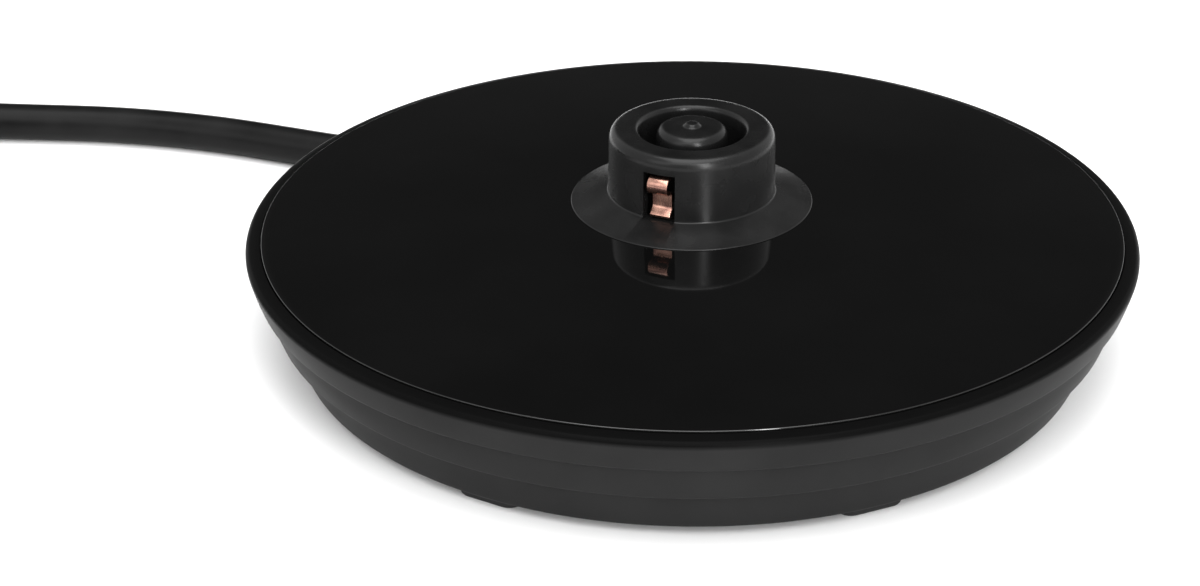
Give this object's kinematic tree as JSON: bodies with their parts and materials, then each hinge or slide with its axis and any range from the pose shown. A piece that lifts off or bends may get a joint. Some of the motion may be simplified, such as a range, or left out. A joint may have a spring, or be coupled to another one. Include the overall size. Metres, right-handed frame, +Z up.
{
  "type": "kettle power base",
  "caption": "Round corded power base of a cordless kettle, with a raised centre connector, sprung earth contact, shutter, mains cord and plug.",
  "frame": {"origin": "on the floor under the middle of the disc, centre of the feet's contact plane", "axes": "+Z up along the connector's axis; -Y is the front, where the earth contact's window is, and the cord leaves at the back, towards -X"},
  "size_m": [0.3328, 0.1747, 0.0443],
  "materials": {
    "gloss": "high gloss black, injection moulded",
    "moulding": "semi-gloss black",
    "satin": "satin black",
    "nylon": "satin black glass-filled",
    "rubber": "matt black",
    "sheath": "satin black",
    "copper": "polished, warm",
    "brass": "bright",
    "nickel": "bright plated",
    "steel": "zinc plated",
    "earth_wire": "green and yellow insulation",
    "live_wire": "brown insulation",
    "neutral_wire": "blue insulation"
  },
  "bodies": {
    "base": {"top_cover": "gloss", "side_shell": "moulding", "bottom_cover": "moulding", "plug_body": "moulding", "foot_1": "rubber", "foot_2": "rubber", "foot_3": "rubber", "foot_4": "rubber", "foot_5": "rubber", "foot_6": "rubber", "cover_screw_1": "steel", "cover_screw_2": "steel", "cover_screw_3": "steel", "socket_cover": "satin", "contact_carrier": "nylon", "socket_retainer": "nylon", "cord_clamp": "nylon", "retainer_screw_1": "steel", "retainer_screw_2": "steel", "retainer_screw_3": "steel", "shutter_spring": "steel", "earth_terminal": "brass", "live_terminal": "brass", "neutral_terminal": "brass", "live_wire": "live_wire", "earth_wire": "earth_wire", "neutral_wire": "neutral_wire", "strain_relief": "rubber", "cord_sheath_end": "sheath", "clamp_screw_1": "steel", "clamp_screw_2": "steel", "cord_lead": "sheath", "cord_coil": "sheath", "cord_tail": "sheath", "cord_tie": "rubber", "plug_pin_1": "nickel", "plug_earth_clip_1": "nickel", "plug_pin_2": "nickel", "plug_earth_clip_2": "nickel"},
    "shutter": {"shutter": "satin"},
    "earth_contact": {"earth_contact": "copper"},
    "live_contact": {"live_contact": "copper"},
    "neutral_contact": {"neutral_contact": "copper"}
  },
  "joints": [
    {"name": "shutter_slide", "type": "slide", "parent": "base", "child": "shutter", "axis": [0, 0, -1], "range_m": [0, 0.006], "stiffness_N_per_m": 250, "springref_m": -0.003, "deforming": ["shutter_spring"]},
    {"name": "earth_contact_flex", "type": "hinge", "parent": "base", "child": "earth_contact", "pos_m": [-0.00469, -0.01105, 0.013], "axis": [-0.9205, 0.3907, 0], "range_deg": [0, 2.2], "stiffness_Nm_per_rad": 0.05, "springref_deg": -1.15},
    {"name": "live_contact_flex", "type": "hinge", "parent": "base", "child": "live_contact", "pos_m": [-0.01182, -0.00208, 0.013], "axis": [0.1736, -0.9848, 0], "range_deg": [0, 1.2], "stiffness_Nm_per_rad": 0.05, "springref_deg": -1.15},
    {"name": "neutral_contact_flex", "type": "hinge", "parent": "base", "child": "neutral_contact", "pos_m": [0.00771, -0.00919, 0.013], "axis": [0.766, 0.6428, 0], "range_deg": [0, 1.2], "stiffness_Nm_per_rad": 0.05, "springref_deg": -1.15}
  ]
}
